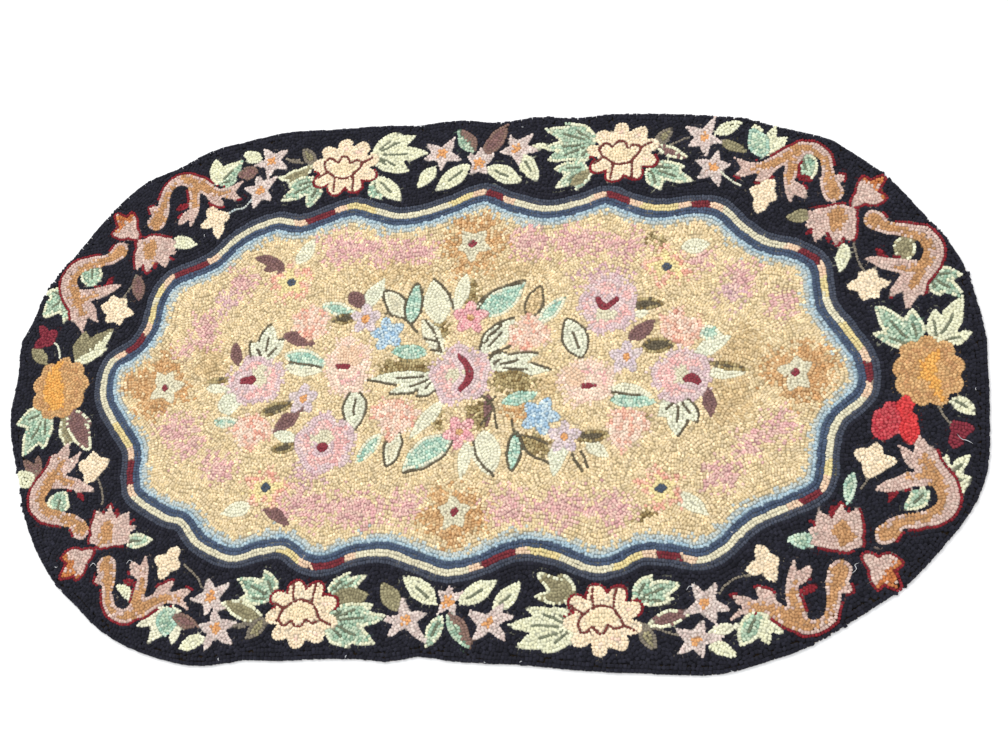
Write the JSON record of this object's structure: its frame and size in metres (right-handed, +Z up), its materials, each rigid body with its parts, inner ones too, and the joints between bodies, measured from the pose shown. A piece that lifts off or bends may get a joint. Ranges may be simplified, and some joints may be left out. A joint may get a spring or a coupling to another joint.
{
  "type": "hooked rug",
  "caption": "Oval hand-hooked wool rug with a dark floral border, a scalloped ribbon and a bouquet on a tan field, lying flat",
  "frame": {"origin": "on the floor, under the middle of the rug's length and width", "axes": "+X along the rug's length, +Y across its width towards the edge far from the viewer, +Z up out of the pile"},
  "size_m": [1.52, 0.886, 0.008],
  "materials": {
    "hooked_wool": "matte hooked wool loops"
  },
  "bodies": {
    "root": {"hooked_rug": "hooked_wool"}
  },
  "joints": []
}
